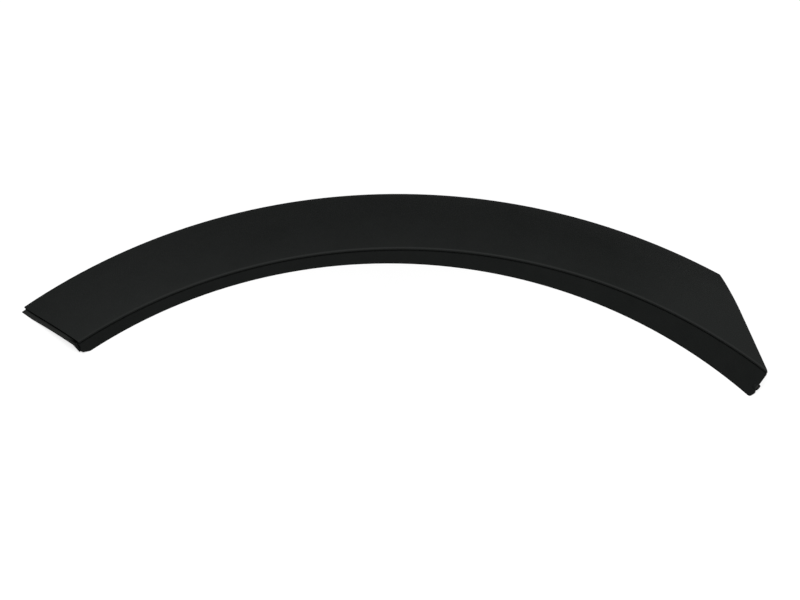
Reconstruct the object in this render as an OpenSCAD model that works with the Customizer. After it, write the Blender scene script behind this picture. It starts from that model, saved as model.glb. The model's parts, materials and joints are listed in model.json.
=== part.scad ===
// Wheel arch trim: one moulded piece, lying on its back with its outer face up.
// X runs along the arch, Y from the wheel towards the crown, Z out from the car's side.
// Sections are drawn by their distance inward from the outer edge and their height.

/* [Arch] */
// Radius of the return flange's lower edge, round the wheel
opening_r = 360; // [330:1:380]
// Width of the trim at the crown, from the flange's lower edge to the outer edge
crown_w = 81.6; // [72:0.1:95]
// Radius of the outer edge
outer_r = 439.4; // [400:0.1:480]
// How far the centre of the outer edge lies towards the right end
outer_shift = 10.1; // [0:0.1:20]

/* [Ends] */
// Angle in degrees from the crown to the left end, at the outer edge
left_outer_a = 47.3; // [35:0.1:55]
// Angle in degrees from the crown to the left end, at the lip
left_lip_a = 46.6; // [35:0.1:55]
// Angle in degrees from the crown to the left end, at the flange's lower edge
left_foot_a = 46.4; // [35:0.1:55]
// Angle in degrees from the crown to the right end's corner, at the outer edge
right_outer_a = 36.2; // [25:0.1:45]
// Angle in degrees from the crown to the right end's tip, at the lip
right_lip_a = 50; // [40:0.1:58]
// Angle in degrees from the crown to the right end, at the flange's lower edge
right_foot_a = 49.8; // [40:0.1:58]
// Rounding of the two outer corners
corner_r = 1.6; // [0.5:0.1:6]
// Wall that closes the right end, measured along the arch
end_t = 2.8; // [1.5:0.1:4]
// How far that wall is set back from the right end's edge
end_set = 8; // [4:0.1:15]

/* [Face] */
// Wall of the face
wall_t = 2.8; // [2:0.1:3.6]
// Height of the outer edge
rim_h = 2; // [1.5:0.1:4]
// Rounding along the outer edge
rim_r = 1; // [0.3:0.1:1.4]
// Width of the solid band that lies on the car's side
rim_land = 7; // [4:0.1:12]
// Distance from the outer edge to the shoulder
shoulder_w = 20; // [16:0.1:26]
// Height of the shoulder at the left end
shoulder_h_left = 6.5; // [4.5:0.1:8]
// Height of the shoulder at the crown
shoulder_h_crown = 8.4; // [5:0.1:11]
// Height of the shoulder at the right end
shoulder_h_right = 12.8; // [6:0.1:15]
// Half of the length over which the shoulder is rounded
shoulder_blend = 13; // [4:0.1:15]
// Swell of the face between shoulder and lip
face_crown = 0.7; // [0:0.1:2]

/* [Lip] */
// Height of the lip at the left end
lip_h_left = 15.9; // [13:0.1:19]
// Height of the lip at the crown
lip_h_crown = 15.8; // [13:0.1:20]
// Height of the lip at the right end
lip_h_right = 27; // [18:0.1:32]
// Rounding along the lip
lip_r = 1.6; // [0.5:0.1:2.4]
// Depth of the lip's front, down to the groove
lip_front = 2.4; // [2:0.1:4]
// Width of the shadow groove under the lip
groove_w = 2; // [0.8:0.1:2.4]
// Depth of the shadow groove
groove_d = 1.8; // [0.5:0.1:2]
// Depth of the shadow groove where it runs out at the right end
groove_end_d = 0.2; // [0.1:0.1:1]
// Length over which the shadow groove runs out
groove_out = 10; // [4:0.5:30]

/* [Flange] */
// Wall of the flange at its lower edge
flange_t = 2.6; // [1.8:0.1:3.4]
// How far the flange leans in towards the wheel at the left end
lean_left = 2.6; // [1:0.1:8]
// How far the flange leans in towards the wheel at the crown
lean_crown = 4.2; // [1:0.1:8]
// How far the flange leans in towards the wheel at the right end
lean_right = 11; // [3:0.1:18]
// Height of the slanted cut at the left lower corner
foot_h = 3; // [1:0.1:5]
// Length of the slanted cut at the left lower corner
foot_cut = 6; // [1:0.1:15]
// Rounding of the right lower corner
foot_r = 2.6; // [0.5:0.1:4]

/* [Lap tongue] */
// How far the tongue reaches past the left end at the outer edge
tongue_l = 3; // [2:0.1:12]
// How far the tongue reaches past the left end at the lip
tongue_lip_l = 3.2; // [1:0.1:12]
// How far the tongue reaches past the left end at the flange's foot
tongue_foot_l = 0.8; // [0.4:0.1:12]
// How deep the tongue is rooted under the face
tongue_root = 8; // [4:0.1:15]
// Wall of the tongue
tongue_t = 1.6; // [1:0.1:2.6]
// How far the tongue lies below the face
tongue_step = 2.4; // [1.6:0.1:2.6]
// Wall of the tongue where it runs out at the outer edge
tongue_edge_t = 0.8; // [0.5:0.1:1.2]
// How far the tongue stays back from the outer edge
tongue_outer = 2.5; // [1:0.1:8]
// How far the tongue lies behind the flange
tongue_behind = 2.2; // [1.9:0.1:2.4]

/* [Locating nub] */
// Radius of the nub on the right end of the flange
nub_r = 2.6; // [1.5:0.1:3.2]
// Straight length of the nub before its round end
nub_l = 0.5; // [0:0.1:3]
// Length of the nub's root inside the flange
nub_root = 3; // [2:0.1:6]
// Height of the nub's centre
nub_z = 9; // [5:0.1:12]

/* [Ribs] */
// Number of stiffening ribs between two clip seats
ribs_per_bay = 2; // [1:1:3]
// Wall of a rib
rib_t = 1.6; // [1:0.1:2.4]
// Clearance between the ribs and the car's side
rib_lift = 1.2; // [0.5:0.1:2]

/* [Clip seats] */
// Number of clip seats
seat_count = 5; // [3:1:6]
// Angle in degrees from the crown to the first seat, on the left
seat_first_a = 39; // [30:0.5:41]
// Angle in degrees from the crown to the last seat, on the right
seat_last_a = 34; // [25:0.5:36]
// Distance from the lip to the middle of a seat
seat_in = 19; // [17:0.1:26]
// Length of a seat along the arch
seat_l = 26; // [22:0.1:36]
// Width of a seat across the arch
seat_w = 20; // [18:0.1:26]
// Side walls of a seat
seat_wall = 1.8; // [1:0.1:2.6]
// Plate that holds the clip
seat_t = 2; // [1.5:0.1:2.5]
// Clearance between the plate and the car's side
seat_lift = 0.8; // [0.4:0.1:1.2]
// Radius of the clip's hole in the plate
clip_r = 4.2; // [3.5:0.1:5]
// Width of the slot that lets the clip slide in
slot_w = 5; // [4:0.1:5.4]

/* [Hidden] */
// Steps along the arch
stations = 56;
// Parts of a round on the section's small edges
edge_steps = 3;
// Parts of the shoulder's round
blend_steps = 5;
// Parts of the face between shoulder and lip
face_steps = 4;
// Passes that find where a slanted end meets a line of the section
end_passes = 4;
// Least height of the hollow behind the face
hollow_min = 0.3;
// How far a cut runs past the surface it opens
overrun = 1;
// How far a rooted piece reaches into the wall that carries it
bite = 0.5;
// How far the centre of the outer edge lies towards the crown
outer_rise = opening_r + crown_w - sqrt(outer_r * outer_r - outer_shift * outer_shift);

// Value at angle a of a curve through its left end, crown and right end
function along(a, left, crown, right) =
    let (s = a / (a < 0 ? left_lip_a : right_lip_a))
    crown + (right - left) / 2 * s + ((right + left) / 2 - crown) * s * s;

function polar(r, a) = [r * sin(a), r * cos(a)];
function mix(p, q, s) = p + (q - p) * s;

// Radius of the outer edge at angle a, measured from the wheel's centre
function outer_at(a) =
    let (along_ray = outer_shift * sin(a) + outer_rise * cos(a),
         off_ray = outer_shift * cos(a) - outer_rise * sin(a))
    along_ray + sqrt(outer_r * outer_r - off_ray * off_ray);

function lean_at(a) = along(a, lean_left, lean_crown, lean_right);
function lip_h_at(a) = along(a, lip_h_left, lip_h_crown, lip_h_right);
function shoulder_h_at(a) = along(a, shoulder_h_left, shoulder_h_crown, shoulder_h_right);
function face_w(a) = outer_at(a) - opening_r - lean_at(a);

// Height of the face at distance x inward from the outer edge
function face_z(a, x) =
    let (w = face_w(a),
         first = (shoulder_h_at(a) - rim_h) / shoulder_w,
         second = (lip_h_at(a) - shoulder_h_at(a)) / (w - shoulder_w),
         past = x - shoulder_w,
         s = max(0, past) / (w - shoulder_w),
         turn = past < -shoulder_blend ? 0
             : past > shoulder_blend ? past
             : pow(past + shoulder_blend, 2) / (4 * shoulder_blend))
    rim_h + first * x + (second - first) * turn + 4 * face_crown * s * (1 - s);

function under_z(a, x) = max(hollow_min, face_z(a, x) - wall_t);

// Height of the groove's upper and lower edge
function groove_top(a) = lip_h_at(a) - lip_front;
function flange_top(a) = groove_top(a) - groove_w;

// Distance inward of the flange's outer and inner side at height z
function flange_x(a, z) = face_w(a) + lean_at(a) * (1 - z / flange_top(a));
function groove_at(a) =
    mix(groove_end_d, groove_d, min(1, max(0, right_lip_a - a) / degrees_of(groove_out, opening_r)));
function web_x(a) = face_w(a) - groove_d - wall_t;
function web_z(a) = under_z(a, web_x(a)) - wall_t;
function flange_back_x(a, z) = mix(face_w(a) + lean_at(a) - flange_t, web_x(a), z / web_z(a));

// Where the shoulder's round and the face have their lines, as distances inward
function blend_x(i) = shoulder_w + shoulder_blend * (2 * i / blend_steps - 1);
function face_x(a, i) =
    mix(shoulder_w + shoulder_blend, face_w(a) - lip_r, i / face_steps);
function foot_z(i) = foot_h * (1 - sin(90 * i / edge_steps));

// The outer side of the section at angle a, from the rim to the flange's lower edge
function outer_skin(a) = concat(
    [[0, 0]],
    [for (i = [0:edge_steps]) let (t = 90 * i / edge_steps, x = rim_r * (1 - cos(t)))
        [x, face_z(a, x) - rim_r * (1 - sin(t))]],
    [for (i = [0:blend_steps]) [blend_x(i), face_z(a, blend_x(i))]],
    [for (i = [1:face_steps - 1]) [face_x(a, i), face_z(a, face_x(a, i))]],
    [for (i = [0:edge_steps]) let (t = 90 * i / edge_steps, x = face_w(a) - lip_r * (1 - sin(t)))
        [x, face_z(a, x) - lip_r * (1 - cos(t))]],
    [[face_w(a), groove_top(a)]],
    [[face_w(a) - groove_at(a), groove_top(a)]],
    [[face_w(a) - groove_at(a), flange_top(a)]],
    [[face_w(a), flange_top(a)]],
    [for (i = [0:edge_steps]) [flange_x(a, foot_z(i)), foot_z(i)]]);

// The inner side of the section at angle a, in the same direction
function inner_skin(a) = concat(
    [[rim_land, 0]],
    [[rim_land, under_z(a, rim_land)]],
    [for (i = [1:blend_steps]) [blend_x(i), under_z(a, blend_x(i))]],
    [for (i = [1:face_steps - 1]) [face_x(a, i), under_z(a, face_x(a, i))]],
    [[web_x(a), under_z(a, web_x(a))]],
    [[web_x(a), web_z(a)]],
    [for (i = [0:edge_steps]) [flange_back_x(a, foot_z(i)), foot_z(i)]]);

// Which inner point faces each outer point where the ends are closed
function partners() = concat(
    [0],
    [for (i = [0:edge_steps]) i < edge_steps ? 0 : 1],
    [for (i = [0:blend_steps]) i + 1],
    [for (i = [1:face_steps - 1]) blend_steps + 1 + i],
    [for (i = [0:edge_steps]) blend_steps + face_steps + 1],
    [for (i = [0:1]) blend_steps + face_steps + 1],
    [for (i = [0:1]) blend_steps + face_steps + 2],
    [for (i = [0:edge_steps]) blend_steps + face_steps + 3 + i]);

// Angle at which the straight line from p to q has radius r
function chord_angle(p, q, r) =
    let (d = q - p, b = p * d, c = p * p - r * r, n = d * d,
         e = p + d * (-b - sqrt(b * b - n * c)) / n)
    atan2(e[0], e[1]);

function end_angle(p, q, x, a, passes) =
    passes == 0 ? a
    : end_angle(p, q, x, chord_angle(p, q, outer_at(a) - x * face_w(a)), passes - 1);

// Corners of the two ends in plan, at the outer edge and at the lip
left_corners = [polar(outer_at(-left_outer_a), -left_outer_a),
                polar(opening_r + lean_left, -left_lip_a)];
right_corners = [polar(outer_at(right_outer_a), right_outer_a),
                 polar(opening_r + lean_right, right_lip_a)];

// Share of a lower corner's cut at height z, on the half of the section that holds the flange
function foot_share(share, z, h) = share > 0.5 && z < h ? 1 - z / h : 0;
function degrees_of(l, r) = l / r * 180 / PI;
function corner_back(x) = corner_r * pow(max(0, 1 - x / corner_r), 2);

// Angle of the left and right end for a section point at distance x and height z
function left_angle(x, z) =
    let (w = face_w(-left_lip_a), past = x - w)
    (past > 0 ? -mix(left_lip_a, left_foot_a, past / lean_left)
     : end_angle(left_corners[0], left_corners[1], x / w, -left_lip_a, end_passes)
         + degrees_of(corner_back(x), outer_r))
    + degrees_of(foot_cut * foot_share(x / w, z, foot_h), opening_r);
function right_angle(x, z) =
    let (w = face_w(right_lip_a), past = x - w, s = foot_share(x / w, z, foot_r))
    (past > 0 ? mix(right_lip_a, right_foot_a, past / lean_right)
     : end_angle(right_corners[0], right_corners[1], x / w, right_lip_a, end_passes)
         - degrees_of(corner_back(x), outer_r))
    - degrees_of(foot_r * (1 - sqrt(1 - s * s)), opening_r);

// Every point of one skin: a row for each line of the section, from left to right
function skin_row(left_point, right_point, skin, k) =
    let (from = left_angle(left_point[0], left_point[1]),
         to = right_angle(right_point[0], right_point[1]))
    [for (j = [0:stations])
        let (a = mix(from, to, j / stations), p = skin == 0 ? outer_skin(a)[k] : inner_skin(a)[k])
        concat(polar(outer_at(a) - p[0], a), p[1])];

outer_rows = let (l = outer_skin(-left_lip_a), r = outer_skin(right_lip_a))
    [for (k = [0:len(l) - 1]) skin_row(l[k], r[k], 0, k)];
inner_rows = let (l = inner_skin(-left_lip_a), r = inner_skin(right_lip_a))
    [for (k = [0:len(l) - 1]) skin_row(l[k], r[k], 1, k)];

// The shell as one closed surface of rows, with both ends closed between the skins
module shell() {
    n_out = len(outer_rows);
    n_in = len(inner_rows);
    ring = concat(outer_rows, [for (k = [n_in - 1:-1:0]) inner_rows[k]]);
    rows = len(ring);
    cols = stations + 1;
    points = [for (row = ring) for (p = row) p];
    sides = [for (k = [0:rows - 1]) for (j = [0:stations - 1])
        let (n = (k + 1) % rows, p = k * cols + j, q = n * cols + j)
        for (f = [[p, q + 1, q], [p, p + 1, q + 1]]) f];
    m = partners();
    function inner_id(k) = n_out + n_in - 1 - k;
    cap = [for (k = [0:n_out - 2])
        for (f = [[k, k + 1, inner_id(m[k])],
                  if (m[k + 1] != m[k]) [k + 1, inner_id(m[k + 1]), inner_id(m[k])]]) f];
    left_cap = [for (f = cap) [for (k = f) k * cols]];
    right_cap = [for (f = cap) [for (k = [2, 1, 0]) f[k] * cols + stations]];
    polyhedron(points, concat(sides, left_cap, right_cap), convexity = 6);
}

// The tongue that laps under the neighbouring trim: a plate that follows the face and the flange
function tongue_x(a, i, back) =
    mix(tongue_outer, face_w(a) - tongue_behind - back, i / blend_steps);
function tongue_side(a, back, edge) = concat(
    [for (i = [0:blend_steps]) let (x = tongue_x(a, i, back))
        [x, max(edge, face_z(a, x) - tongue_step - back)]],
    [[flange_x(a, foot_h) - tongue_behind - back, foot_h]]);
tongue_ways = [for (p = tongue_side(-left_lip_a, 0, tongue_edge_t))
    let (way = p[0] > face_w(-left_lip_a) - tongue_behind ? tongue_foot_l
             : mix(tongue_l, tongue_lip_l, p[0] / face_w(-left_lip_a)))
    [for (turn = [-degrees_of(way, opening_r), 0, degrees_of(tongue_root, opening_r)])
        left_angle(p[0], p[1]) + turn]];
function tongue_points(back, edge) =
    [for (k = [0:len(tongue_ways) - 1]) for (a = tongue_ways[k])
        let (p = tongue_side(a, back, edge)[k])
        concat(polar(outer_at(a) - p[0], a), p[1])];
tongue_upper = tongue_points(0, tongue_edge_t);
tongue_lower = tongue_points(tongue_t, 0);

// A closed plate between two skins of points, each with cols points to a row
module plate(upper, lower, cols) {
    count = len(upper);
    last = count - cols;
    steps = count / cols - 2;
    skin = [for (i = [0:steps]) for (j = [0:cols - 2])
        let (p = i * cols + j, q = p + cols)
        for (f = [[p, q + 1, q], [p, p + 1, q + 1]]) f];
    under = [for (f = skin) [for (k = [2, 1, 0]) f[k] + count]];
    ends = [for (j = [0:cols - 2])
        for (f = [[j, j + count, j + count + 1], [j, j + count + 1, j + 1],
                  [last + j, last + j + count + 1, last + j + count],
                  [last + j, last + j + 1, last + j + count + 1]]) f];
    edges = [for (i = [0:steps])
        let (p = i * cols, q = p + cols, r = p + cols - 1, t = q + cols - 1)
        for (f = [[p, q + count, p + count], [p, q, q + count],
                  [r, r + count, t + count], [r, t + count, t]]) f];
    polyhedron(concat(upper, lower), concat(skin, under, ends, edges), convexity = 4);
}

module tongue() {
    plate(tongue_upper, tongue_lower, len(tongue_ways[0]));
}

// Stands a drawing of radius and height on the ray at angle a, with thickness t along the arch
module on_ray(a, t) {
    rotate([0, 0, 90 - a])
        rotate([90, 0, 0])
            linear_extrude(t, center = true)
                children();
}

// Middle of the face's and the flange's wall, where ribs and seats are rooted
function root_z(a, x) = face_z(a, x) - wall_t / 2;
function root_points(a, from, to, steps) =
    [for (i = [0:steps]) let (x = mix(from, to, i / steps)) [outer_at(a) - x, root_z(a, x)]];

// Distance inward at which a rib starts: in the rim's band, or in the right end's wall
function rib_from(a) =
    let (d = right_corners[1] - right_corners[0])
    a < right_outer_a ? rim_land - bite
    : outer_at(a) - cross(right_corners[0], d) / cross(polar(1, a), d) + end_set + end_t / 2;

// A stiffening rib across the hollow back, from the rim's band to the flange
module rib(a) {
    from = rib_from(a);
    to = web_x(a) + bite;
    foot = flange_back_x(a, rib_lift) + bite;
    on_ray(a, rib_t)
        polygon(concat(root_points(a, from, to, blend_steps),
                       [[outer_at(a) - to, web_z(a)],
                        [outer_at(a) - foot, rib_lift],
                        [outer_at(a) - from, rib_lift]]));
}

// A clip seat: a plate with a keyhole, held below the face by walls on three sides
module seat(a) {
    mid = face_w(a) - seat_in;
    from = mid - seat_w / 2;
    to = mid + seat_w / 2;
    middle = outer_at(a) - mid;
    floor_z = seat_lift + seat_t;
    difference() {
        on_ray(a, seat_l)
            polygon(concat(root_points(a, from, to, face_steps),
                           [[outer_at(a) - to, seat_lift], [outer_at(a) - from, seat_lift]]));
        on_ray(a, seat_l - 2 * seat_wall)
            polygon([[outer_at(a) - from + overrun, floor_z],
                     [outer_at(a) - to + seat_wall, floor_z],
                     [outer_at(a) - to + seat_wall, lip_h_at(a)],
                     [outer_at(a) - from + overrun, lip_h_at(a)]]);
        rotate([0, 0, 90 - a])
            translate([middle, 0, seat_lift - overrun]) {
                cylinder(h = seat_t + 2 * overrun, r = clip_r, $fn = 64);
                translate([0, -slot_w / 2, 0])
                    cube([seat_w / 2 + overrun, slot_w, seat_t + 2 * overrun]);
            }
    }
}

// The wall that closes the hollow at the right end, a little inside the slanted edge
function end_row(a, x, top) = [for (z = [top, 0]) concat(polar(outer_at(a) - x, a), z)];
function end_skin(back) =
    let (tip = right_lip_a, away = degrees_of(end_set + back, opening_r), low = tip - away)
    concat(
        [for (i = [0:face_steps])
            let (x = mix(rim_land - bite, web_x(tip) + bite, i / face_steps),
                 a = right_angle(x, foot_r) - away,
                 own_x = x / face_w(tip) * face_w(a))
            for (p = end_row(a, own_x, root_z(a, own_x))) p],
        end_row(low, web_x(low) + 2 * bite, web_z(low)),
        end_row(low, flange_back_x(low, foot_r) + bite, foot_r));
module end_wall() {
    plate(end_skin(0), end_skin(end_t), len(end_row(0, 0, 0)));
}

// The round nub that finds the neighbouring piece, on the flange's right end
nub_a = right_angle(flange_x(right_lip_a, nub_z), nub_z);
nub_centre = polar(outer_at(nub_a) - flange_x(nub_a, nub_z) + flange_t / 2, nub_a)
    + nub_l * [cos(nub_a), -sin(nub_a)];
module nub() {
    translate(concat(nub_centre, nub_z)) {
        sphere(r = nub_r, $fn = 48);
        rotate([0, 0, -nub_a])
            rotate([0, -90, 0])
                cylinder(h = nub_root + nub_l, r = nub_r, $fn = 48);
    }
}

function seat_angle(i) = mix(-seat_first_a, seat_last_a, i / (seat_count - 1));
bay_a = (seat_first_a + seat_last_a) / (seat_count - 1);
rib_angles = [for (i = [-1:seat_count - 1]) for (k = [1:ribs_per_bay])
    let (a = seat_angle(i) + bay_a * k / (ribs_per_bay + 1))
    if (a > -left_lip_a + degrees_of(tongue_root, opening_r) && a < right_lip_a
        && web_x(a) - rib_from(a) > seat_w) a];

// Bounds of the whole piece, which set the origin at the middle of its back
edge_points = concat(tongue_upper, [for (row = outer_rows) for (p = row) p]);
left_x = min([for (p = edge_points) p[0]]);
right_x = max(nub_centre[0] + nub_r, max([for (p = edge_points) p[0]]));
near_y = min(nub_centre[1] - nub_r, min([for (p = edge_points) p[1]]));
far_y = max([for (p = edge_points) p[1]]);

module arch_trim() {
    color([0.13, 0.13, 0.135])
        translate([-(left_x + right_x) / 2, -(near_y + far_y) / 2, 0]) {
            shell();
            tongue();
            end_wall();
            nub();
            for (a = rib_angles)
                rib(a);
            for (i = [0:seat_count - 1])
                seat(seat_angle(i));
        }
}

arch_trim();
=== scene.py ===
"""Wheel arch trim: a grained black moulding that lies on its back on a white studio floor."""

import json
import logging
import math
from dataclasses import dataclass, field
from enum import Enum

import bpy
from mathutils import Matrix, Vector

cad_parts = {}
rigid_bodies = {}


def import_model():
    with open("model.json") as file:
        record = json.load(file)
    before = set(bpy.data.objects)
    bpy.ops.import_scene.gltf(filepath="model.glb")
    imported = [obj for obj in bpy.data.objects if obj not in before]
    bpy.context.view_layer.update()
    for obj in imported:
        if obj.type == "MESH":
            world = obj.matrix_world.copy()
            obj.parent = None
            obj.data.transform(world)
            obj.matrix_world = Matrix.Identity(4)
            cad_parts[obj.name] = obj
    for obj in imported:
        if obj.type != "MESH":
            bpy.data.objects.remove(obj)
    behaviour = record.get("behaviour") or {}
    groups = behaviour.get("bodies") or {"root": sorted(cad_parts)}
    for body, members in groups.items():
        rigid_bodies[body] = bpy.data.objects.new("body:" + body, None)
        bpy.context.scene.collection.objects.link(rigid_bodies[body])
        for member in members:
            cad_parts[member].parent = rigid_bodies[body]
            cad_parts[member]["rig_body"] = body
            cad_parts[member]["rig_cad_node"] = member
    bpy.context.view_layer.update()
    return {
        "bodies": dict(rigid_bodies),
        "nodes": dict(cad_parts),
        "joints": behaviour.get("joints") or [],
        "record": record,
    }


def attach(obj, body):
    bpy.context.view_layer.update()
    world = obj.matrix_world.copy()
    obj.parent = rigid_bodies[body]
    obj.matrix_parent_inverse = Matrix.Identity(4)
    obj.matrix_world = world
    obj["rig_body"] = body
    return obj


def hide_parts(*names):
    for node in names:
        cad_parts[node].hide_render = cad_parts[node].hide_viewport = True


log = logging.getLogger("wheel_arch_trim")
IMAGE_WIDTH_PX = 800
SENSOR_WIDTH_MM = 36.0
Colour = tuple[float, float, float, float]
Pair = tuple[float, float]
Triple = tuple[float, float, float]
Socket = bpy.types.NodeSocket
WHITE: Colour = (1.0, 1.0, 1.0, 1.0)


def set_sockets(node: bpy.types.Node, values: dict[str, float | Colour]) -> None:
    """Sets the constants of a shader node on its own sockets.

    Args:
        node: The node whose sockets are set.
        values: Socket names and the values that they take.
    """
    for name, value in values.items():
        node.inputs[name].default_value = value


class Course(Enum):
    """How a share goes from one limit to the other."""

    STRAIGHT = "LINEAR"
    SOFT = "SMOOTHSTEP"


class Measure(Enum):
    """What is measured of a place."""

    FROM_MIDDLE = "LENGTH"
    FROM_PLACE = "DISTANCE"
    ALONG_DIRECTION = "DOT_PRODUCT"


@dataclass(frozen=True)
class Recipe:
    """The nodes of a finish or of the sky, and the steps that such recipes share.

    Attributes:
        tree: The node tree that holds the nodes.
    """

    tree: bpy.types.NodeTree

    def feed(self, socket: Socket, source: Socket | float | Colour | Triple) -> None:
        """Links a value to a node's socket, or sets it there where it is plain.

        Args:
            socket: The socket that takes the value.
            source: The socket of the value, or a plain number, colour or place.
        """
        if isinstance(source, Socket):
            self.tree.links.new(source, socket)
        else:
            socket.default_value = source

    def _sum(self, kind: str, first: Socket, second: Socket | float) -> Socket:
        """Makes a sum of two values.

        Args:
            kind: The kind of sum, as the node names it.
            first: The socket of the first value.
            second: The socket of the second value, or a number.

        Returns:
            The socket that holds the outcome.
        """
        node = self.tree.nodes.new("ShaderNodeMath")
        node.operation = kind
        self.feed(node.inputs[0], first)
        self.feed(node.inputs[1], second)
        return node.outputs["Value"]

    def plus(self, first: Socket, second: Socket | float) -> Socket:
        """Adds two values."""
        return self._sum("ADD", first, second)

    def minus(self, first: Socket, second: Socket | float) -> Socket:
        """Takes the second value from the first."""
        return self._sum("SUBTRACT", first, second)

    def times(self, first: Socket, second: Socket | float) -> Socket:
        """Multiplies two values."""
        return self._sum("MULTIPLY", first, second)

    def larger(self, first: Socket, second: Socket | float) -> Socket:
        """Gives the larger of two values."""
        return self._sum("MAXIMUM", first, second)

    def unsigned(self, value: Socket) -> Socket:
        """Gives a value without its sign."""
        return self._sum("ABSOLUTE", value, 0.0)

    def measure(self, kind: Measure, place: Socket, other: Triple = (0.0, 0.0, 0.0)) -> Socket:
        """Measures a place against another place or a direction.

        Args:
            kind: What is measured.
            place: The socket of the place.
            other: The other place, or the direction.

        Returns:
            The socket that holds the measure.
        """
        node = self.tree.nodes.new("ShaderNodeVectorMath")
        node.operation = kind.value
        self.feed(node.inputs[0], place)
        self.feed(node.inputs[1], other)
        return node.outputs["Value"]

    def part_of(self, vector: Socket, axis: str) -> Socket:
        """Gives one part of a place or a direction.

        Args:
            vector: The socket of the place or the direction.
            axis: X, Y or Z.

        Returns:
            The socket that holds that part.
        """
        split = self.tree.nodes.new("ShaderNodeSeparateXYZ")
        self.feed(split.inputs["Vector"], vector)
        return split.outputs[axis]

    def ramp(self, value: Socket, limits: Pair, shares: Pair = (0.0, 1.0),
             course: Course = Course.STRAIGHT) -> Socket:
        """Turns a value between two limits into a share, and holds it outside them.

        Args:
            value: The socket of the value.
            limits: The values at which the share starts and ends.
            shares: The share at the start and at the end.
            course: How the share goes from start to end.

        Returns:
            The socket that holds the share.
        """
        node = self.tree.nodes.new("ShaderNodeMapRange")
        node.interpolation_type = course.value
        set_sockets(node, {"From Min": limits[0], "From Max": limits[1],
                           "To Min": shares[0], "To Max": shares[1]})
        self.feed(node.inputs["Value"], value)
        return node.outputs["Result"]

    def mix(self, share: Socket, first: Colour | Socket, second: Colour | Socket) -> Socket:
        """Mixes two colours.

        Args:
            share: The socket of the second colour's share.
            first: The first colour, or its socket.
            second: The second colour, or its socket.

        Returns:
            The socket that holds the mixed colour.
        """
        node = self.tree.nodes.new("ShaderNodeMix")
        node.data_type = "RGBA"
        # The node has sockets of its own for each kind of value, and these are the colours'.
        for index, source in ((0, share), (6, first), (7, second)):
            self.feed(node.inputs[index], source)
        return node.outputs[2]

    def place(self) -> Socket:
        """Gives the place on the piece, in metres."""
        return self.tree.nodes.new("ShaderNodeTexCoord").outputs["Object"]

    def upward(self) -> Socket:
        """Gives the upward part of the surface's direction, 1 where it looks straight up."""
        surface = self.tree.nodes.new("ShaderNodeNewGeometry")
        return self.part_of(surface.outputs["True Normal"], "Z")

    def noted(self, name: str) -> Socket:
        """Gives the value that is noted on the mesh.

        Args:
            name: Name of the mesh attribute that holds the value.

        Returns:
            The socket that holds the value.
        """
        note = self.tree.nodes.new("ShaderNodeAttribute")
        note.attribute_name = name
        return note.outputs["Fac"]

    def seen_directly(self) -> Socket:
        """Gives 1 to the camera's rays and those that gloss or glass sends on, and 0 to others.

        Returns:
            The socket that holds the value.
        """
        path = self.tree.nodes.new("ShaderNodeLightPath")
        seen = self.larger(path.outputs["Is Camera Ray"], path.outputs["Is Glossy Ray"])
        return self.larger(seen, path.outputs["Is Transmission Ray"])


@dataclass(frozen=True)
class LipLine:
    """The line of the lip round the wheel, from which the painted light of the face and the
    painted highlight are measured.

    Attributes:
        wheel_m: Place of the wheel's centre on the floor.
        opening_r_m: Radius of the flange's lower edge.
        lean_m: How far the flange leans in at the left end, the crown and the right end.
        height_m: Height of the lip at the left end, the crown and the right end.
        round_m: Rounding along the lip.
        end_deg: Angles from the crown to the left and the right end of the lip.
        under_share: Depth below the lip at which a corner is under it, in roundings.
        front_share: Distance outward from the lip up to which it can be so, in roundings.
        hidden_m: Distance noted under the lip and on the flange, where neither the painted
            highlight nor the painted light of the face goes.
        name: Name of the mesh attribute that holds the distance.
    """

    wheel_m: Pair = (0.017398, -0.337177)
    opening_r_m: float = 0.36
    lean_m: Triple = (0.0026, 0.0042, 0.011)
    height_m: Triple = (0.0159, 0.0158, 0.027)
    round_m: float = 0.0016
    end_deg: Pair = (46.6, 50.0)
    under_share: float = 1.1
    front_share: float = 2.0
    hidden_m: float = -0.01
    name: str = "from_lip"

    def along(self, turn: float, values: Triple) -> float:
        """Gives a size at a place along the arch, from its values at three places.

        Args:
            turn: Angle from the crown in degrees, negative to the left.
            values: The size at the left end, the crown and the right end.

        Returns:
            The size at that angle.
        """
        share = turn / (self.end_deg[0] if turn < 0 else self.end_deg[1])
        left, crown, right = values
        return (crown + (right - left) / 2 * share
                + ((right + left) / 2 - crown) * share * share)

    def distance(self, corner: Vector) -> float:
        """Measures how far a corner of the face lies outward from the lip, seen from above.

        Args:
            corner: Place of the corner, in metres.

        Returns:
            The distance in metres, or the hidden one for a corner under the lip.
        """
        across, up = corner.x - self.wheel_m[0], corner.y - self.wheel_m[1]
        turn = math.degrees(math.atan2(across, up))
        outward = math.hypot(across, up) - self.opening_r_m - self.along(turn, self.lean_m)
        under = corner.z < self.along(turn, self.height_m) - self.under_share * self.round_m
        hidden = under and outward < self.front_share * self.round_m
        return self.hidden_m if hidden else outward

    def mark(self, piece: bpy.types.Object) -> None:
        """Notes the distance from the lip on every corner of a piece.

        Args:
            piece: The piece whose mesh is marked.
        """
        notes = piece.data.attributes.new(self.name, "FLOAT", "POINT")
        for corner, note in zip(piece.data.vertices, notes.data):
            note.value = self.distance(corner.co)


@dataclass(frozen=True)
class Readings:
    """What the plastic's recipe reads at a point of the surface.

    Attributes:
        place: The place on the piece.
        across: The place along the trim, from left to right.
        upward: The upward part of the surface's direction.
        from_lip: The distance outward from the lip.
        past_end: The distance past the face's left end, negative on the face.
    """

    place: Socket
    across: Socket
    upward: Socket
    from_lip: Socket
    past_end: Socket


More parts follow.
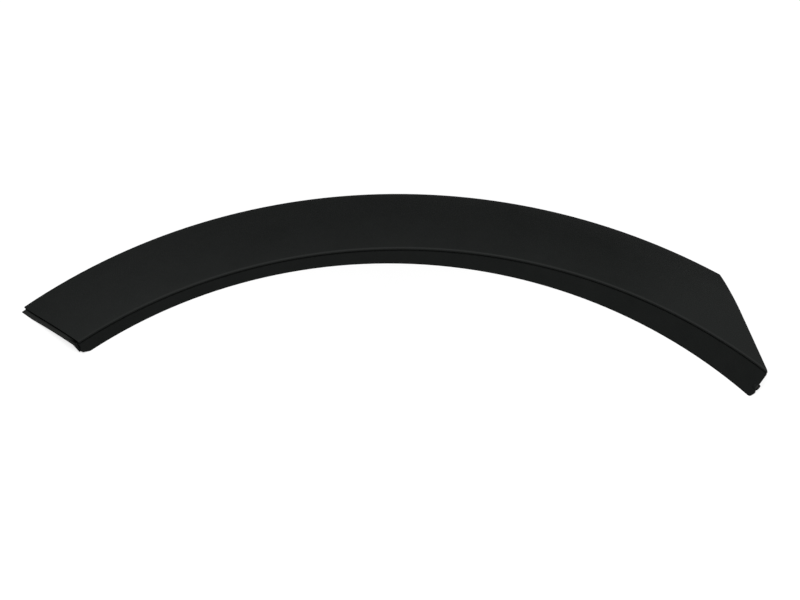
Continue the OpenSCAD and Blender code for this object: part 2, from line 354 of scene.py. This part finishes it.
@dataclass(frozen=True)
class FineGrain:
    """The fine grain that the mould gives the face.

    Attributes:
        cells_per_m: Cells of the grain to a metre.
        softness: How softly the cells meet.
        depth_m: Depth of the grain.
    """

    cells_per_m: float = 900.0
    softness: float = 0.6
    depth_m: float = 0.0002

    def emboss(self, recipe: Recipe, at: Readings, raised: Socket) -> Socket:
        """Raises the grain.

        Args:
            recipe: The material's recipe.
            at: The readings.
            raised: The socket that gives how strongly the grain stands out.

        Returns:
            The socket that holds the surface's direction.
        """
        cells = recipe.tree.nodes.new("ShaderNodeTexVoronoi")
        cells.feature = "SMOOTH_F1"
        set_sockets(cells, {"Scale": self.cells_per_m, "Smoothness": self.softness})
        recipe.feed(cells.inputs["Vector"], at.place)
        bump = recipe.tree.nodes.new("ShaderNodeBump")
        set_sockets(bump, {"Distance": self.depth_m})
        recipe.feed(bump.inputs["Strength"], raised)
        recipe.feed(bump.inputs["Height"], cells.outputs["Distance"])
        return bump.outputs["Normal"]


@dataclass(frozen=True)
class ColourDrift:
    """The slow drift of the plastic's colour into its paler tone.

    Attributes:
        full_share: Share of the paler tone where the drift is full.
        waves_per_m: Waves of the drift to a metre.
        finer_waves: Number of finer waves in it.
        finer_strength: Strength of each finer wave against the one before it.
    """

    full_share: float = 0.57
    waves_per_m: float = 25.0
    finer_waves: float = 6.0
    finer_strength: float = 0.9

    def paler(self, recipe: Recipe, at: Readings) -> Socket:
        """Gives the paler tone's share that the drift brings.

        Args:
            recipe: The material's recipe.
            at: The readings.

        Returns:
            The socket that holds the share.
        """
        flow = recipe.tree.nodes.new("ShaderNodeTexNoise")
        set_sockets(flow, {"Scale": self.waves_per_m, "Detail": self.finer_waves,
                           "Roughness": self.finer_strength})
        recipe.feed(flow.inputs["Vector"], at.place)
        return recipe.times(flow.outputs["Fac"], self.full_share)


@dataclass(frozen=True)
class PaintedLight:
    """Painted light on the face and the sides, a painted highlight on the lip and painted shade
    by the tongue.

    What a pair of values lies between starts at the first and is full at the second.

    Attributes:
        lip_light_m: Distances from the lip between which the painted light of the face grows.
        lip_light_share: Share of the paler tone in that painted light at the lip.
        side_light_share: Share of the paler tone on the flange, under the lip and on the other
            steep sides, a painted light that lifts their shade.
        left_end_light_m: Places along the trim between which the left end of the face is
            painted paler, as painted light.
        left_end_light_share: Share of the paler tone in that painted light.
        right_end_light_m: Places along the trim between which the right end of the face is
            painted paler, as painted light.
        right_light_reach_m: Distances from the lip between which that painted light reaches
            over the face.
        right_end_light_share: Share of the paler tone in that painted light.
        highlight_band_m: Edges of the painted highlight band, outward from the lip.
        highlight_from_m: Places along the trim between which the painted highlight sets in.
        shade_step_m: Distances from the face's left end between which the painted shade grows.
        steep: Upward parts of the direction between which a surface counts as steep.
    """

    lip_light_m: Pair = (0.075, 0.0)
    lip_light_share: float = 0.42
    side_light_share: float = 0.16
    left_end_light_m: Pair = (-0.1, -0.22)
    left_end_light_share: float = 0.28
    right_end_light_m: Pair = (0.19, 0.285)
    right_light_reach_m: Pair = (0.078, 0.052)
    right_end_light_share: float = 0.66
    highlight_band_m: Pair = (-0.0004, 0.0018)
    highlight_from_m: Pair = (-0.28, -0.18)
    shade_step_m: Pair = (0.0005, 0.0003)
    steep: Pair = (0.3, 0.1)

    def paler(self, recipe: Recipe, at: Readings, on_face: Socket) -> Socket:
        """Gives the paler tone's share of the painted light, on the face and on the sides.

        Args:
            recipe: The material's recipe.
            at: The readings.
            on_face: The socket that is 1 on the face, and 0 on the flange and the sides.

        Returns:
            The socket that holds the share.
        """
        # Painted light: the face is painted paler towards the lip.
        lip_light = recipe.ramp(at.from_lip, self.lip_light_m, (0.0, self.lip_light_share))
        # Painted light: both ends of the face are painted paler, the right one only near the
        # lip.
        left_light = recipe.ramp(at.across, self.left_end_light_m, (0.0, self.left_end_light_share))
        right_light = recipe.ramp(at.across, self.right_end_light_m, (0.0, self.right_end_light_share))
        right_light_reached = recipe.times(right_light, recipe.ramp(at.from_lip, self.right_light_reach_m))
        face_light = recipe.times(recipe.plus(lip_light, recipe.plus(left_light, right_light_reached)), on_face)
        # Painted light: the flange, the parts under the lip and the steep sides are painted
        # paler, lifting their shade.
        return recipe.plus(recipe.ramp(on_face, (1.0, 0.0), (0.0, self.side_light_share)), face_light)

    def painted_highlight(self, recipe: Recipe, at: Readings) -> Socket:
        """Gives 1 in the middle of the painted highlight band along the lip, and 0 outside it.

        Args:
            recipe: The material's recipe.
            at: The readings.

        Returns:
            The socket that holds the value.
        """
        middle = (self.highlight_band_m[0] + self.highlight_band_m[1]) / 2
        off_middle = recipe.unsigned(recipe.minus(at.from_lip, middle))
        band = recipe.ramp(off_middle, (self.highlight_band_m[1] - middle, 0.0), course=Course.SOFT)
        return recipe.times(band, recipe.ramp(at.across, self.highlight_from_m))

    def painted_shade(self, recipe: Recipe, at: Readings) -> Socket:
        """Gives 1 on the low wall between the tongue and the face's left end, where painted
        shade goes, and 0 elsewhere.

        Args:
            recipe: The material's recipe.
            at: The readings.

        Returns:
            The socket that holds the value.
        """
        near = recipe.ramp(recipe.unsigned(at.past_end), self.shade_step_m)
        return recipe.times(near, recipe.ramp(at.upward, self.steep))


@dataclass(frozen=True)
class GrainedPlastic:
    """Black moulded plastic with fine grain, and a plainer back, tongue and nub.

    What a pair of values lies between starts at the first and is full at the second.

    Attributes:
        name: The material's name.
        lip: The line of the lip.
        grain: The grain of the face.
        drift: The drift of the colour.
        painted_light: The painted light of the face and the sides, the painted highlight on the
            lip and the painted shade beside the tongue.
        colour: Colour of the plastic, as linear light.
        pale: Paler tone that the colour drifts into at random and that the painted light mixes
            in, as linear light.
        highlight_tone: Colour of the painted highlight along the lip, as linear light.
        smooth_sheen: Paler colour of the tongue's top and the nub, a painted sheen on their
            smooth skin, as linear light.
        shade_tone: Colour of the painted shade beside the tongue, as linear light.
        left_end_m: The outer and the lip corner of the face's left end.
        tongue_m: Distances past that end between which the tongue's skin starts.
        nub_m: Centre of the nub on the right end.
        off_nub_m: Distances from that centre between which the grain starts.
        flat: Upward parts of the direction between which a surface counts as flat.
        outside: Upward parts of the direction between which a surface faces out.
        face_roughness: Roughness of the grained face.
        back_roughness: Roughness of the back, the tongue and the nub.
        specular: Strength of the plastic's gloss.
        ior: How much the plastic bends light.
    """

    name: str = "grained_plastic"
    lip: LipLine = field(default_factory=LipLine)
    grain: FineGrain = field(default_factory=FineGrain)
    drift: ColourDrift = field(default_factory=ColourDrift)
    painted_light: PaintedLight = field(default_factory=PaintedLight)
    colour: Colour = (0.0054, 0.0060, 0.0057, 1.0)
    pale: Colour = (0.0183, 0.0197, 0.0190, 1.0)
    highlight_tone: Colour = (0.0250, 0.0263, 0.0256, 1.0)
    smooth_sheen: Colour = (0.0230, 0.0240, 0.0228, 1.0)
    shade_tone: Colour = (0.0020, 0.0022, 0.0020, 1.0)
    left_end_m: tuple[Pair, Pair] = ((-0.301162, -0.043213), (-0.246058, -0.088039))
    tongue_m: Pair = (0.0002, 0.0006)
    nub_m: Triple = (0.2974, -0.1019, 0.009)
    off_nub_m: Pair = (0.0028, 0.003)
    flat: Pair = (0.3, 0.6)
    outside: Pair = (-0.12, -0.02)
    face_roughness: float = 0.65
    back_roughness: float = 0.42
    specular: float = 0.02
    ior: float = 1.49

    def build(self) -> bpy.types.Material:
        """Makes the material with its nodes.

        Returns:
            The finished material.
        """
        material = bpy.data.materials.new(self.name)
        material.use_nodes = True
        recipe = Recipe(material.node_tree)
        shader = material.node_tree.nodes["Principled BSDF"]
        set_sockets(shader, {"Specular IOR Level": self.specular, "IOR": self.ior})
        at = self._read(recipe)
        grained = self._grained(recipe, at)
        recipe.feed(shader.inputs["Base Color"], self._coloured(recipe, at, grained))
        raised = recipe.times(recipe.ramp(at.upward, self.outside), grained)
        roughness = recipe.ramp(raised, (0.0, 1.0), (self.back_roughness, self.face_roughness))
        recipe.feed(shader.inputs["Roughness"], roughness)
        recipe.feed(shader.inputs["Normal"], self.grain.emboss(recipe, at, raised))
        return material

    def _read(self, recipe: Recipe) -> Readings:
        """Takes the readings that the recipe works from.

        Args:
            recipe: The material's recipe.

        Returns:
            The readings.
        """
        place = recipe.place()
        outer, lip = (Vector(corner) for corner in self.left_end_m)
        along = (lip - outer).normalized()
        outward = (along.y, -along.x, 0.0)
        reach = recipe.measure(Measure.ALONG_DIRECTION, place, outward)
        past_end = recipe.minus(reach, outward[0] * outer.x + outward[1] * outer.y)
        return Readings(place, recipe.part_of(place, "X"), recipe.upward(),
                        recipe.noted(self.lip.name), past_end)

    def _grained(self, recipe: Recipe, at: Readings) -> Socket:
        """Gives 1 on the grained skin, and 0 on the nub and on the top of the tongue.

        Args:
            recipe: The material's recipe.
            at: The readings.

        Returns:
            The socket that holds the value.
        """
        on_tongue = recipe.times(recipe.ramp(at.past_end, self.tongue_m),
                                 recipe.ramp(at.upward, self.flat))
        off_tongue = recipe.ramp(on_tongue, (1.0, 0.0))
        from_nub = recipe.measure(Measure.FROM_PLACE, at.place, self.nub_m)
        return recipe.times(off_tongue, recipe.ramp(from_nub, self.off_nub_m))

    def _coloured(self, recipe: Recipe, at: Readings, grained: Socket) -> Socket:
        """Lets the plastic's own tone drift into its paler one, and adds the painted light, the
        painted highlight, the painted sheen and the painted shade.

        Args:
            recipe: The material's recipe.
            at: The readings.
            grained: The socket that is 1 on the grained skin.

        Returns:
            The socket that holds the colour.
        """
        on_face = recipe.times(recipe.ramp(at.from_lip, (self.lip.hidden_m, 0.0)),
                               recipe.ramp(at.upward, self.flat))
        # The tone drifts at random; the painted light makes the face paler towards the lip and
        # the ends, and lifts the sides.
        paler = recipe.plus(self.drift.paler(recipe, at), self.painted_light.paler(recipe, at, on_face))
        tone = recipe.mix(paler, self.colour, self.pale)
        # Painted highlight: a paler band along the lip's rounding.
        face = recipe.mix(self.painted_light.painted_highlight(recipe, at), tone, self.highlight_tone)
        # Painted sheen: the tongue's top and the nub get a paler colour than the grained face.
        skin = recipe.mix(grained, self.smooth_sheen, face)
        # Painted shade: the low wall between the tongue and the face's end is painted near
        # black.
        return recipe.mix(self.painted_light.painted_shade(recipe, at), skin, self.shade_tone)


@dataclass(frozen=True)
class WhiteStudio:
    """White paint for the floor that stays white to the eye and keeps the trim's shadow.

    Attributes:
        name: The material's name.
        tone: Colour of the paint, as linear light.
        roughness: Roughness of the paint.
        own_light: Share of white that the eye sees at once, near the trim and far off.
        spread_m: Distances from the trim between which that share changes.
    """

    name: str = "studio_white"
    tone: Colour = (0.4, 0.4, 0.4, 1.0)
    roughness: float = 0.9
    own_light: Pair = (0.65, 0.93)
    spread_m: Pair = (0.0, 1.2)

    def build(self) -> bpy.types.Material:
        """Makes the material with its nodes.

        Returns:
            The finished material.
        """
        material = bpy.data.materials.new(self.name)
        material.use_nodes = True
        recipe = Recipe(material.node_tree)
        shader = material.node_tree.nodes["Principled BSDF"]
        set_sockets(shader, {"Base Color": self.tone, "Roughness": self.roughness,
                             "Specular IOR Level": 0.0, "Emission Color": WHITE})
        far = recipe.measure(Measure.FROM_MIDDLE, recipe.place())
        own_light = recipe.ramp(far, self.spread_m, self.own_light)
        recipe.feed(shader.inputs["Emission Strength"],
                    recipe.times(recipe.seen_directly(), own_light))
        return material


@dataclass
class ArchTrim:
    """The moulded trim: its one solid, merged and shaded soft over its rounds, and dressed in
    its plastic.

    Attributes:
        node: Name of the solid that the piece stands for.
        slot: Name of the record's material slot; not used.
        merge_m: Distance under which corners of the solid's triangles are one.
        crease_deg: Angle over which an edge stays sharp.
        finish: The plastic that the piece is moulded from.
    """

    node: str = "arch_trim"
    slot: str = "grained_plastic"
    merge_m: float = 0.00002
    crease_deg: float = 28.0
    finish: GrainedPlastic = field(default_factory=GrainedPlastic)

    def build(self, frame: dict) -> bpy.types.Object:
        """Copies the solid, merges its triangles and smooths its rounds.


        Returns:
            The finished piece.
        """
        piece = self._copy(frame["nodes"][self.node])
        bpy.ops.object.select_all(action="DESELECT")
        piece.select_set(True)
        bpy.context.view_layer.objects.active = piece
        # The solid's own normals hide its creases from the smoothing, so they go first.
        bpy.ops.mesh.customdata_custom_splitnormals_clear()
        bpy.ops.object.mode_set(mode="EDIT")
        bpy.ops.mesh.select_all(action="SELECT")
        bpy.ops.mesh.remove_doubles(threshold=self.merge_m)
        bpy.ops.object.mode_set(mode="OBJECT")
        bpy.ops.object.shade_smooth_by_angle(angle=math.radians(self.crease_deg))
        return piece

    def _copy(self, solid: bpy.types.Object) -> bpy.types.Object:
        """Copies the solid as a piece of its own that rides on nothing yet.

        Args:
            solid: The solid, which stays as it is.

        Returns:
            The copy.
        """
        piece = solid.copy()
        piece.data = solid.data.copy()
        piece.name = self.node + "_moulding"
        piece.parent = None
        piece.matrix_world = Matrix.Identity(4)
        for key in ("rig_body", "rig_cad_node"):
            if key in piece:
                del piece[key]
        bpy.context.scene.collection.objects.link(piece)
        return piece

    def dress(self, piece: bpy.types.Object) -> None:
        """Marks the lip's distances on the piece, gives it its plastic, hangs it on the root
        body and hides the solid.

        Args:
            piece: The finished piece.
        """
        self.finish.lip.mark(piece)
        piece.data.materials.clear()
        piece.data.materials.append(self.finish.build())
        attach(piece, "root")
        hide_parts(self.node)


@dataclass
class Studio:
    """The floor, the light and the camera.

    Attributes:
        floor_m: Width of the floor.
        paint: The floor's paint.
        sky: Strength of the even light from all round.
        lamp_at_m: Where the soft lamp hangs.
        lamp_size_m: Width and height of the lamp's soft face.
        lamp_w: The lamp's power.
        aim_m: Point that the camera looks at.
        distance_m: Distance from that point to the camera.
        elevation_deg: Height of the camera over the floor, as an angle.
        roll_deg: Turn of the camera about its own line of sight.
        focal_px: Focal length, in pixels of the photograph's frame.
        sight_m: How far the camera sees.
    """

    floor_m: float = 12.0
    paint: WhiteStudio = field(default_factory=WhiteStudio)
    sky: float = 0.22
    lamp_at_m: Triple = (0.05, -0.8, 1.55)
    lamp_size_m: Pair = (1.3, 1.0)
    lamp_w: float = 26.0
    aim_m: Triple = (0.009406, -0.017836, 0.0)
    distance_m: float = 1.250163
    elevation_deg: float = 50.0
    roll_deg: float = 2.285
    focal_px: float = 1492.82
    sight_m: float = 50.0

    def build_floor(self) -> bpy.types.Object:
        """Makes the white floor under the trim.

        Returns:
            The floor.
        """
        bpy.ops.object.select_all(action="DESELECT")
        bpy.ops.mesh.primitive_plane_add(size=self.floor_m, location=(0.0, 0.0, 0.0))
        floor = bpy.context.active_object
        floor.name = "studio_floor"
        floor.data.materials.append(self.paint.build())
        return floor

    def light_sky(self) -> None:
        """Lights the scene evenly, and shows white where the floor ends."""
        world = bpy.data.worlds.new("studio_sky")
        bpy.context.scene.world = world
        world.use_nodes = True
        recipe = Recipe(world.node_tree)
        sky = world.node_tree.nodes["Background"]
        set_sockets(sky, {"Color": WHITE})
        strength = recipe.ramp(recipe.seen_directly(), (0.0, 1.0), (self.sky, 1.0))
        recipe.feed(sky.inputs["Strength"], strength)

    def hang_lamp(self) -> bpy.types.Object:
        """Hangs the broad soft lamp, which looks at the middle of the trim.

        Returns:
            The lamp.
        """
        data = bpy.data.lights.new("key_lamp", "AREA")
        data.shape = "RECTANGLE"
        data.size, data.size_y = self.lamp_size_m
        data.energy = self.lamp_w
        lamp = bpy.data.objects.new("key_lamp", data)
        place = Vector(self.lamp_at_m)
        turn = (-place).to_track_quat("-Z", "Y").to_matrix().to_4x4()
        lamp.matrix_world = Matrix.Translation(place) @ turn
        bpy.context.scene.collection.objects.link(lamp)
        return lamp

    def place_camera(self) -> bpy.types.Object:
        """Places the camera at the photograph's viewing angle.

        Returns:
            The camera.
        """
        data = bpy.data.cameras.new("camera")
        data.sensor_width = SENSOR_WIDTH_MM
        data.lens = self.focal_px * SENSOR_WIDTH_MM / IMAGE_WIDTH_PX
        data.clip_end = self.sight_m
        camera = bpy.data.objects.new("camera", data)
        bpy.context.scene.collection.objects.link(camera)
        rise = math.radians(self.elevation_deg)
        roll = math.radians(self.roll_deg)
        back = Vector((0.0, -math.cos(rise), math.sin(rise)))
        right = Vector((1.0, 0.0, 0.0))
        up = back.cross(right)
        turned_right = math.cos(roll) * right + math.sin(roll) * up
        turned_up = math.cos(roll) * up - math.sin(roll) * right
        turn = Matrix((turned_right, turned_up, back)).transposed().to_4x4()
        place = Vector(self.aim_m) + back * self.distance_m
        camera.matrix_world = Matrix.Translation(place) @ turn
        bpy.context.scene.camera = camera
        return camera


def main() -> None:
    """Builds the trim and its studio, and notes the piece's number of faces."""
    logging.basicConfig(level=logging.INFO, format="%(name)s: %(message)s")
    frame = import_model()
    trim = ArchTrim()
    piece = trim.build(frame)
    trim.dress(piece)
    log.info("%s: %d faces", piece.name, len(piece.data.polygons))
    studio = Studio()
    studio.build_floor()
    studio.light_sky()
    studio.hang_lamp()
    studio.place_camera()
    bpy.context.scene.view_settings.view_transform = "Standard"
    log.info("studio: floor, sky, lamp and camera")


if __name__ == "__main__":
    main()
